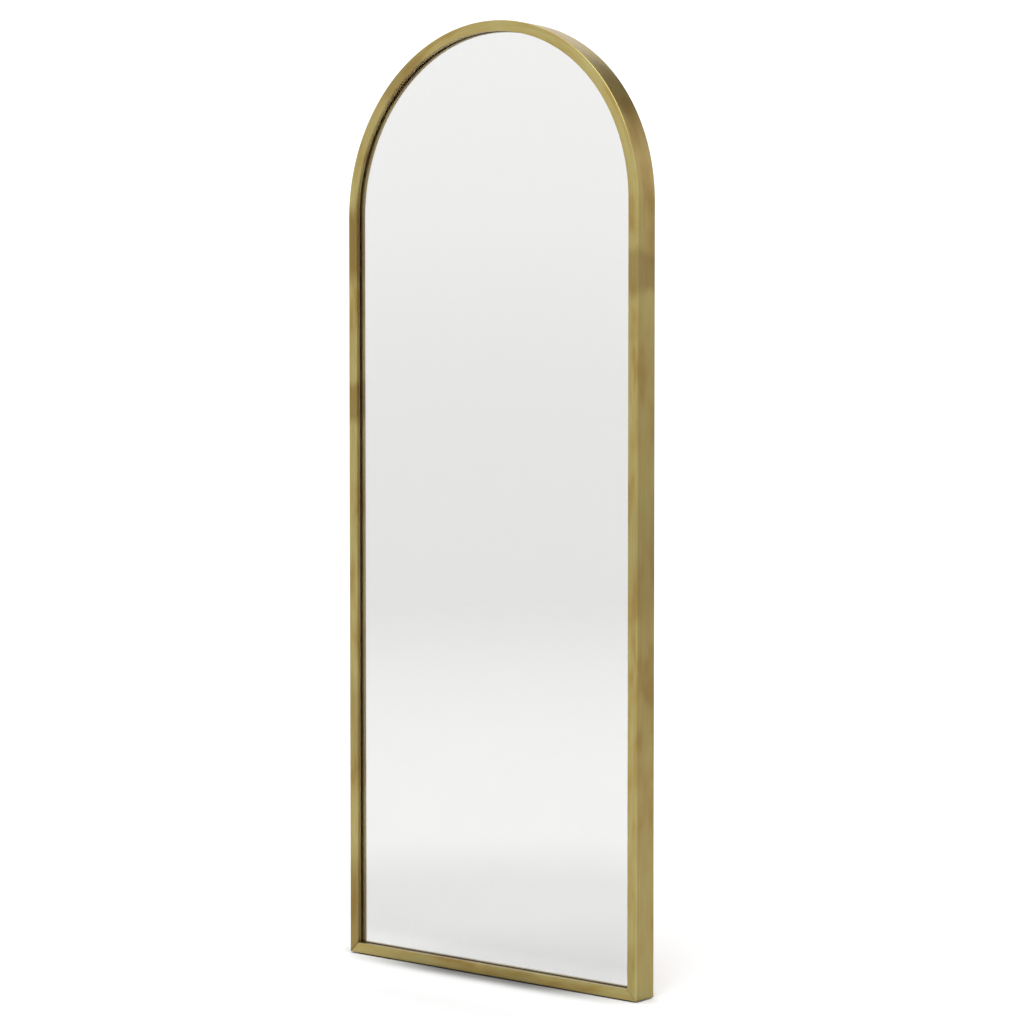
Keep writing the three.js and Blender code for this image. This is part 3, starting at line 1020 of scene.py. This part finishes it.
# %% Turn one screw
HEAD_RADIUS = 3.4 * MM
HEAD_HEIGHT = 1.8 * MM
HEAD_FLAT = 2.5 * MM
SHANK_RADIUS = 1.9 * MM
CROSS_ARM = 1.7 * MM
CROSS_HALF = 0.42 * MM
CROSS_DEPTH = 1.1 * MM
CROSS_TAPER = 0.72
SCREW_STEPS = 24
NEXT_TURN = 37  # degrees from one screw to the next, so that their crosses don't line up


def turn_screw(shank):
    """A screw on the Y axis, with its head towards +Y and the seat of its head at the origin."""
    bm = bmesh.new()
    profile = (
        (0.0, -shank),
        (SHANK_RADIUS, -shank + 2 * SHANK_RADIUS),
        (SHANK_RADIUS, 0.0),
        (HEAD_RADIUS, 0.0),
        (HEAD_RADIUS, 0.45 * HEAD_HEIGHT),
        (0.93 * HEAD_RADIUS, 0.8 * HEAD_HEIGHT),
        (HEAD_FLAT, HEAD_HEIGHT),
    )
    line = [bm.verts.new((radius, height, 0)) for radius, height in profile]
    for pair in zip(line, line[1:]):
        bm.edges.new(pair)
    turned = bmesh.ops.spin(
        bm,
        geom=bm.verts[:] + bm.edges[:],
        cent=(0, 0, 0),
        axis=HEAD_AXIS,
        angle=2 * math.pi,
        steps=SCREW_STEPS,
        use_merge=True,
    )
    bmesh.ops.remove_doubles(bm, verts=bm.verts, dist=SAME_PLACE)
    rim = [edge for edge in bm.edges if all(v.co.y > HEAD_HEIGHT - SAME_PLACE for v in edge.verts)]
    cross = []
    for quarter in range(4):
        turn = Matrix.Rotation(quarter * math.pi / 2, 3, "Y")
        for x, z in ((CROSS_HALF, CROSS_HALF), (CROSS_ARM, CROSS_HALF), (CROSS_ARM, -CROSS_HALF)):
            cross.append(bm.verts.new(turn @ Vector((x, HEAD_HEIGHT, z))))
    cross_edges = [bm.edges.new(pair) for pair in zip(cross, cross[1:] + cross[:1])]
    bmesh.ops.triangle_fill(bm, edges=rim + cross_edges, use_beauty=True)
    walls = bmesh.ops.extrude_edge_only(bm, edges=cross_edges)["geom"]
    floor_verts = [item for item in walls if isinstance(item, bmesh.types.BMVert)]
    floor_edges = [
        item for item in walls
        if isinstance(item, bmesh.types.BMEdge) and all(v in floor_verts for v in item.verts)
    ]
    bmesh.ops.translate(bm, verts=floor_verts, vec=(0, -CROSS_DEPTH, 0))
    bmesh.ops.scale(bm, verts=floor_verts, vec=(CROSS_TAPER, 1, CROSS_TAPER))
    bmesh.ops.contextual_create(bm, geom=floor_edges)
    return bm


screws = [node for node in frame["nodes"] if "screw" in node]
for number, node in enumerate(screws):
    low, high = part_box(node)
    seat = high.y - HEAD_HEIGHT
    bm = turn_screw(seat - low.y)
    driven = Matrix.Rotation(math.radians(NEXT_TURN * number), 4, "Y")
    bm.transform(Matrix.Translation(((low.x + high.x) / 2, seat, (low.z + high.z) / 2)) @ driven)
    make_piece("pan_head_" + node, bm, [zinc], node)
print(len(screws), "screws driven")

# %% [markdown]
# ## Hanger straps
# A strap is a strip of steel whose end is curled into an eye for the D-ring. Its middle line runs
# up from the lower end to the height of the pivot, and from there a spin carries it round the
# ring's bar. The rest is made as the clips are.

# %% Curl the straps
STRAP_METAL = 1.5 * MM
STRAP_CORNER = 5 * MM
CURL_STEPS = 28
CURL_DEGREES = 290
for label in SIDES:
    node = f"hanger_strap_{label}"
    joint = next(joint for joint in frame["joints"] if joint["child"] == f"ring_{label}")
    pivot = Vector(joint["pos_m"])
    low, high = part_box(node)
    bm = bmesh.new()
    line_y = low.y + STRAP_METAL / 2
    bottom = bm.verts.new((low.x, line_y, low.z))
    eye_start = bm.verts.new((low.x, line_y, pivot.z))
    bm.edges.new((bottom, eye_start))
    bmesh.ops.spin(
        bm,
        geom=[eye_start],
        cent=pivot,
        axis=(1, 0, 0),
        angle=-math.radians(CURL_DEGREES),
        steps=CURL_STEPS,
    )
    strip = bmesh.ops.extrude_edge_only(bm, edges=bm.edges[:])["geom"]
    far_side = [item for item in strip if isinstance(item, bmesh.types.BMVert)]
    bmesh.ops.translate(bm, verts=far_side, vec=(high.x - low.x, 0, 0))
    ends = [vert for vert in bm.verts if vert.co.z < low.z + HAIR]
    round_corners(bm, ends, STRAP_CORNER)
    strap = make_piece("curled_" + node, bm, [zinc], node)
    pressed(strap, STRAP_METAL)
print("straps", round((high.x - low.x) / MM), "mm wide")

# %% [markdown]
# ## D-rings
# Each D-ring is one length of round wire, bent to a D and closed inside the eye of its strap. It
# is made as a wire bender works: a circle of the wire's diameter is pushed along in straights
# and swung through turns, until its end meets its start.

# %% Bend the rings
WIRE = 3.6 * MM
WIRE_STEPS = 20
BEND_RADIUS = 3.2 * MM
BEND_STEPS = 8
BOW_STEPS = 28


def push(bm, end, vector):
    """Pushes the end of the wire straight on, and returns its new end."""
    grown = bmesh.ops.extrude_edge_only(bm, edges=end)["geom"]
    verts = [item for item in grown if isinstance(item, bmesh.types.BMVert)]
    bmesh.ops.translate(bm, verts=verts, vec=vector)
    return [
        item for item in grown
        if isinstance(item, bmesh.types.BMEdge) and all(v in verts for v in item.verts)
    ]


def swing(bm, end, centre, degrees, steps):
    """Swings the end of the wire round a centre, towards -Z where it points along +X."""
    verts = list(dict.fromkeys(vert for edge in end for vert in edge.verts))
    turned = bmesh.ops.spin(
        bm,
        geom=verts + list(end),
        cent=centre,
        axis=HEAD_AXIS,
        angle=math.radians(degrees),
        steps=steps,
    )
    return [item for item in turned["geom_last"] if isinstance(item, bmesh.types.BMEdge)]


for label in SIDES:
    node = f"d_ring_{label}"
    low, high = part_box(node)
    radius = WIRE / 2
    centre_x = (low.x + high.x) / 2
    half_width = (high.x - low.x) / 2 - radius
    bar = Vector((centre_x, (low.y + high.y) / 2, high.z - radius))
    leg = bar.z - low.z - radius - half_width
    straight_bar = half_width - BEND_RADIUS
    straight_leg = leg - BEND_RADIUS
    bm = bmesh.new()
    across = Matrix.Translation(bar) @ Matrix.Rotation(math.pi / 2, 4, "Y")
    bmesh.ops.create_circle(bm, segments=WIRE_STEPS, radius=radius, matrix=across)
    end = push(bm, bm.edges[:], (straight_bar, 0, 0))
    end = swing(bm, end, bar + Vector((straight_bar, 0, -BEND_RADIUS)), 90, BEND_STEPS)
    end = push(bm, end, (0, 0, -straight_leg))
    end = swing(bm, end, bar + Vector((0, 0, -leg)), 180, BOW_STEPS)
    end = push(bm, end, (0, 0, straight_leg))
    end = swing(bm, end, bar + Vector((-straight_bar, 0, -BEND_RADIUS)), 90, BEND_STEPS)
    end = push(bm, end, (straight_bar, 0, 0))
    make_piece("bent_" + node, bm, [nickel], node, body=f"ring_{label}")
print("rings bent from", round(WIRE / MM, 1), "mm wire")

# %% [markdown]
# ## Feet and wall bumpers
# The feet are thin moulded pads, glued under the rail. They lift it just enough to leave the
# dark line that shows under it. The bumpers are small domed buttons on the rear flange.

# %% Mould the feet and the bumpers
FOOT_CORNER = 6 * MM
FOOT_EDGE = 0.5 * MM
BUMPER_STEPS = 32
BUMPER_DOME = 1.2 * MM
for label in SIDES:
    node = f"foot_{label}"
    low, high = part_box(node)
    bm = bmesh.new()
    place = Matrix.Translation((low + high) / 2) @ Matrix.Diagonal((*(high - low), 1))
    bmesh.ops.create_cube(bm, size=1, matrix=place)
    upright = [edge for edge in bm.edges if abs(edge.verts[0].co.z - edge.verts[1].co.z) > MM]
    ease_edges(bm, upright, FOOT_CORNER, segments=8)
    rims = [edge for edge in bm.edges if abs(edge.verts[0].co.z - edge.verts[1].co.z) < HAIR]
    rims = [edge for edge in rims if len({round(f.normal.z) for f in edge.link_faces}) > 1]
    ease_edges(bm, rims, FOOT_EDGE)
    make_piece(f"moulded_{node}", bm, [rubber], node)

bumpers = [node for node in frame["nodes"] if node.startswith("wall_bumper")]
for node in bumpers:
    low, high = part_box(node)
    middle = (low + high) / 2
    radius = (high.z - low.z) / 2
    bm = bmesh.new()
    upright = Matrix.Translation(middle) @ Matrix.Rotation(math.pi / 2, 4, "X")
    bmesh.ops.create_cone(
        bm,
        cap_ends=True,
        segments=BUMPER_STEPS,
        radius1=radius,
        radius2=radius,
        depth=high.y - low.y,
        matrix=upright,
    )
    rear = [edge for edge in bm.edges if all(v.co.y > middle.y for v in edge.verts)]
    ease_edges(bm, rear, BUMPER_DOME, segments=5)
    make_piece(f"moulded_{node}", bm, [rubber], node)
print(len(bumpers), "bumpers")

# %% [markdown]
# ## Finish the pieces that keep their solids
# The board, the film, the foam, the corner keys and the blocks are as plain in real life as
# their solids are, so they keep them. Each gets the finish listed for its name.

# %% Finishes of the remaining solids
SOLID_FINISHES = {
    "back_board": fibreboard,
    "safety_film": film,
    "foam_sheet": foam,
    "corner_key": zinc,
    "setting_block": rubber,
    "side_spacer": rubber,
}
dressed = 0
for node, solid in frame["nodes"].items():
    for start, finish in SOLID_FINISHES.items():
        if node.startswith(start):
            solid.data.materials.clear()
            solid.data.materials.append(finish)
            dressed += 1
print(dressed, "solids keep their shape and get a finish")

# %% [markdown]
# ## The studio
# Metal and mirrors look like what they face, so the light is a bright room with a few broad
# zones, not lamps: a white backdrop behind, a large soft light overhead, a key light beside the
# camera and a darker wall at the back right. One dark flag, high up at the back, gives the
# shoulder of the arch its depth. The picture is exposed for the mirror, which gives back about
# seven tenths of the light, so the room is brighter than white.

# %% Light from every direction
def towards(bearing, elevation):
    """The direction at a bearing, clockwise from straight back, and an elevation, in degrees."""
    turn, rise = math.radians(bearing), math.radians(elevation)
    return (
        math.sin(turn) * math.cos(rise),
        math.cos(turn) * math.cos(rise),
        math.sin(rise),
    )


HEIGHT_TONES = {-90: 1.07, -4: 1.07, 0: 1.1, 5: 1.21, 10: 1.25, 30: 1.25, 90: 1.35}
ZONES = (
    # bearing, elevation, full within, gone beyond, times brighter
    (0, 90, 25, 55, 1.35),  # the overhead light
    (-39, 0, 28, 55, 1.04),  # the white backdrop
    (37, -7, 7, 20, 0.67),  # the darker foot of the wall at the back right
    (36, 8, 8, 22, 1.3),  # the lighter strip above it
    (5, 37, 4, 18, 0.02),  # the dark flag
    (24, 53, 9, 24, 0.1),  # its upper corner
    (138, 52, 12, 34, 2.5),  # the key light, high beside the camera
)


def room_light(tree, ray):
    """The light that comes from a direction: a tone by height, then each zone over it."""
    height = add_node(tree, "ShaderNodeSeparateXYZ", {"Vector": ray}).outputs["Z"]
    angle = add_node(tree, "ShaderNodeMath", {0: height}, operation="ARCSINE")
    share = add_node(
        tree,
        "ShaderNodeMapRange",
        {"Value": angle},
        {"From Min": -math.pi / 2, "From Max": math.pi / 2},
    )
    tones = {(degrees + 90) / 180: (tone,) * 3 + (1,) for degrees, tone in HEIGHT_TONES.items()}
    light = add_node(tree, "ShaderNodeValToRGB", {"Fac": share}, stops=tones)
    for bearing, elevation, inner, outer, times in ZONES:
        facing = add_node(
            tree,
            "ShaderNodeVectorMath",
            {0: ray},
            {1: towards(bearing, elevation)},
            operation="DOT_PRODUCT",
        )
        weight = add_node(
            tree,
            "ShaderNodeMapRange",
            {"Value": facing},
            {
                "From Min": math.cos(math.radians(outer)),
                "From Max": math.cos(math.radians(inner)),
            },
            interpolation_type="SMOOTHSTEP",
        )
        light = add_node(
            tree,
            "ShaderNodeMix",
            {0: weight, 6: light},
            {7: (times, times, times, 1)},
            data_type="RGBA",
            blend_type="MULTIPLY",
        )
    return light


world = bpy.data.worlds.new("soft_studio")
bpy.context.scene.world = world
world.use_nodes = True
sky_tree = world.node_tree
sky_tree.nodes.clear()
every_way = add_node(sky_tree, "ShaderNodeTexCoord").outputs["Generated"]
background = add_node(
    sky_tree, "ShaderNodeBackground", {"Color": room_light(sky_tree, every_way)}
)
add_node(sky_tree, "ShaderNodeOutputWorld", {"Surface": background})
print(len(ZONES), "zones of light")

# %% [markdown]
# The floor is a wide disc of plain pale paint. What stands on a floor keeps light from the strip
# beside it: the Ambient Occlusion node measures how closed in a point is, and the paint is
# darker there. The darkening thins out towards the corners of the mirror, as it does in the
# photograph, so it is multiplied by how near the point is to the middle.

# %% Floor: the soft shadow along the frame
FLOOR_RADIUS = 9.0
FLOOR_STEPS = 96
CONTACT = 0.075  # how far the soft shadow reaches from what touches the floor
CLOSED_IN, OPEN = 0.66, 1.0  # the paint goes from darkest to pale between these
CONTACT_ENDS = (0.08, 0.34)  # the shadow thins out between these distances from the middle
CONTACT_LEFT = 0.15  # and this share of it stays at the corners

floor_mesh = bpy.data.meshes.new("studio_floor")
bm = bmesh.new()
bmesh.ops.create_circle(bm, cap_ends=True, segments=FLOOR_STEPS, radius=FLOOR_RADIUS)
bm.to_mesh(floor_mesh)
bm.free()
floor = bpy.data.objects.new("studio_floor", floor_mesh)
bpy.context.collection.objects.link(floor)
floor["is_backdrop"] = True

paint, floor_tree = new_finish("pale_floor_paint")
floor_point = add_node(floor_tree, "ShaderNodeTexCoord").outputs["Object"]
floor_parts = add_node(floor_tree, "ShaderNodeSeparateXYZ", {"Vector": floor_point}).outputs
openness = add_node(
    floor_tree, "ShaderNodeAmbientOcclusion", values={"Distance": CONTACT}, samples=16
).outputs["AO"]
shade = add_node(
    floor_tree,
    "ShaderNodeMapRange",
    {"Value": openness},
    {"From Min": CLOSED_IN, "From Max": OPEN, "To Min": 1.0, "To Max": 0.0},
    interpolation_type="SMOOTHSTEP",
)
sideways = add_node(floor_tree, "ShaderNodeMath", {0: floor_parts["X"]}, operation="ABSOLUTE")
thinning = add_node(
    floor_tree,
    "ShaderNodeMapRange",
    {"Value": sideways},
    {
        "From Min": CONTACT_ENDS[0],
        "From Max": CONTACT_ENDS[1],
        "To Min": 1.0,
        "To Max": CONTACT_LEFT,
    },
    interpolation_type="SMOOTHSTEP",
)
shade = add_node(floor_tree, "ShaderNodeMath", {0: shade, 1: thinning}, operation="MULTIPLY")
floor_colour = add_node(
    floor_tree, "ShaderNodeValToRGB", {"Fac": shade}, stops={0.0: "e0e0e0", 1.0: "787878"}
)
print("the soft shadow reaches", round(CONTACT / MM), "mm")

# %% [markdown]
# The floor is also painted greyer some way in front of the mirror: painted shade, for the room's
# light that the mirror keeps from it. That part shows low in the glass, as its greyer foot. Close
# to the frame the mirror throws light back on the floor, and the painted shade ends.

# %% Floor: painted shade in front of the mirror
FOOT = (-0.25, -0.35, 0.0)
FOOT_SHADE = (0.45, 1.15)  # full within, gone beyond
LIT_AGAIN = (-0.1, -0.24)  # gone, and full again, this far from the frame's plane
from_foot = add_node(
    floor_tree, "ShaderNodeVectorMath", {0: floor_point}, {1: FOOT}, operation="DISTANCE"
)
painted_foot_shade = add_node(
    floor_tree,
    "ShaderNodeMapRange",
    {"Value": from_foot},
    {"From Min": FOOT_SHADE[0], "From Max": FOOT_SHADE[1], "To Min": 1.0, "To Max": 0.0},
    interpolation_type="SMOOTHSTEP",
)
clear_of_frame = add_node(
    floor_tree,
    "ShaderNodeMapRange",
    {"Value": floor_parts["Y"]},
    {"From Min": LIT_AGAIN[0], "From Max": LIT_AGAIN[1]},
    interpolation_type="SMOOTHSTEP",
)
painted_foot_shade = add_node(
    floor_tree, "ShaderNodeMath", {0: painted_foot_shade, 1: clear_of_frame}, operation="MULTIPLY"
)
# painted shade: the floor's colour is multiplied greyer in front of the mirror
floor_colour = add_node(
    floor_tree,
    "ShaderNodeMix",
    {0: painted_foot_shade, 6: floor_colour},
    {7: linear("f2f2f2")},
    data_type="RGBA",
    blend_type="MULTIPLY",
)
matt_paint = add_node(floor_tree, "ShaderNodeBsdfDiffuse", {"Color": floor_colour})
print("greyer within", FOOT_SHADE[0], "m of", FOOT)

# %% [markdown]
# Some metres away the floor takes on the light of the wall behind it, as seen from the mirror, so
# that no horizon shows. The direction from the middle of the mirror to the point on the floor
# says which light that is.

# %% Floor: no horizon
EYE = (0.0, 0.0, 0.85)  # the middle of the mirror
FLOOR_FADE = (1.5, 9.5)
from_eye = add_node(
    floor_tree, "ShaderNodeVectorMath", {0: floor_point}, {1: EYE}, operation="SUBTRACT"
)
ray = add_node(floor_tree, "ShaderNodeVectorMath", {0: from_eye}, operation="NORMALIZE")
wall = add_node(floor_tree, "ShaderNodeEmission", {"Color": room_light(floor_tree, ray)})
away = add_node(floor_tree, "ShaderNodeVectorMath", {0: floor_point}, operation="LENGTH")
fade = add_node(
    floor_tree,
    "ShaderNodeMapRange",
    {"Value": away},
    {"From Min": FLOOR_FADE[0], "From Max": FLOOR_FADE[1]},
    interpolation_type="SMOOTHSTEP",
)
faded = add_node(floor_tree, "ShaderNodeMixShader", {0: fade, 1: matt_paint, 2: wall})
add_node(floor_tree, "ShaderNodeOutputMaterial", {"Surface": faded})
floor_mesh.materials.append(paint)
print("the floor fades between", FLOOR_FADE, "m")

# %% [markdown]
# ## The box of the dressed mirror
# The box of the dressed mirror is printed beside the box of the solids, as how far each corner
# moved.

# %% Print how far the box moved
visual_box = [list(corner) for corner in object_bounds()]
for visual_corner, cad_corner in zip(visual_box, cad_box):
    moved = [(v - c) / MM for v, c in zip(visual_corner, cad_corner)]
    print("corner moved by", [round(value, 3) for value in moved], "mm")
